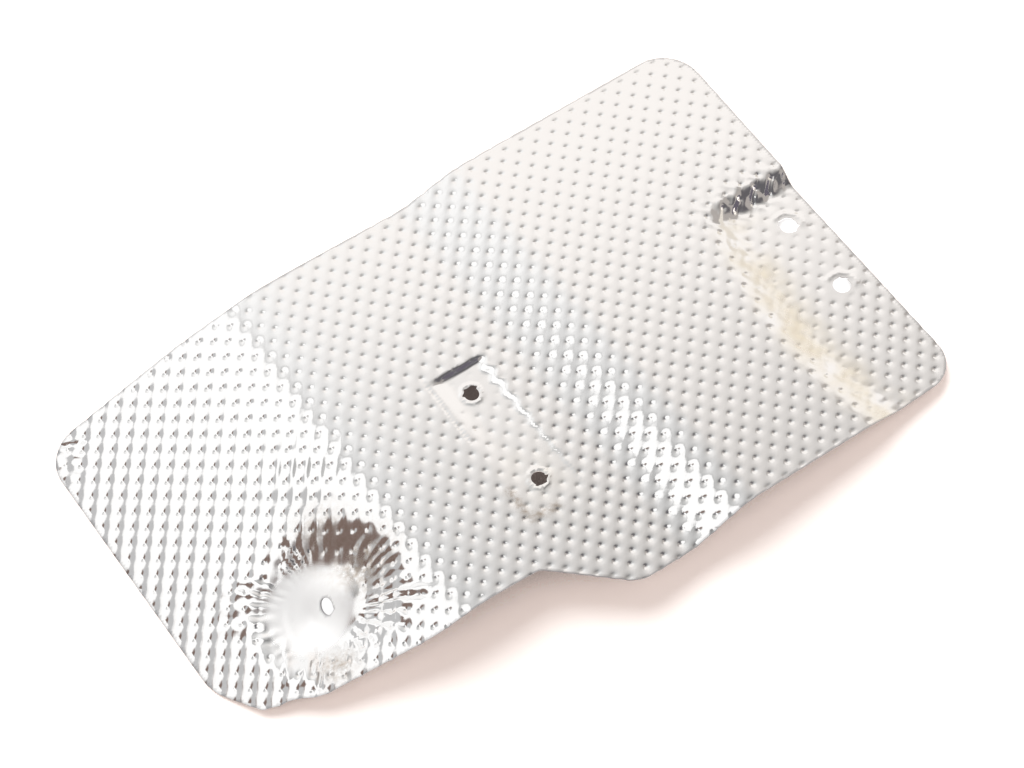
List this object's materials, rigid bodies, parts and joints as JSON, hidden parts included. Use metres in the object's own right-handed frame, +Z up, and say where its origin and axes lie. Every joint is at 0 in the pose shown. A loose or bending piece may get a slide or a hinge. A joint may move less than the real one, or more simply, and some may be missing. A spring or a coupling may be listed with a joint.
{
  "type": "gearbox heat shield",
  "caption": "Pressed heat shield of thin embossed aluminium sheet, with a stepped middle, a bent-down end, a recessed pad, a lowered end seat and a drawn pocket for a slanted screw.",
  "frame": {"origin": "middle of the foot of the box round the sheet as it lies on a table", "axes": "+X along the length, from the bent-down end to the lowered end seat; +Y from the cut-back long edge to the straight long edge; +Z up from the table"},
  "size_m": [0.2588, 0.1582, 0.0238],
  "materials": {
    "aluminium_sheet": "bright, embossed all over"
  },
  "bodies": {
    "root": {"heat_shield": "aluminium_sheet"}
  },
  "joints": []
}
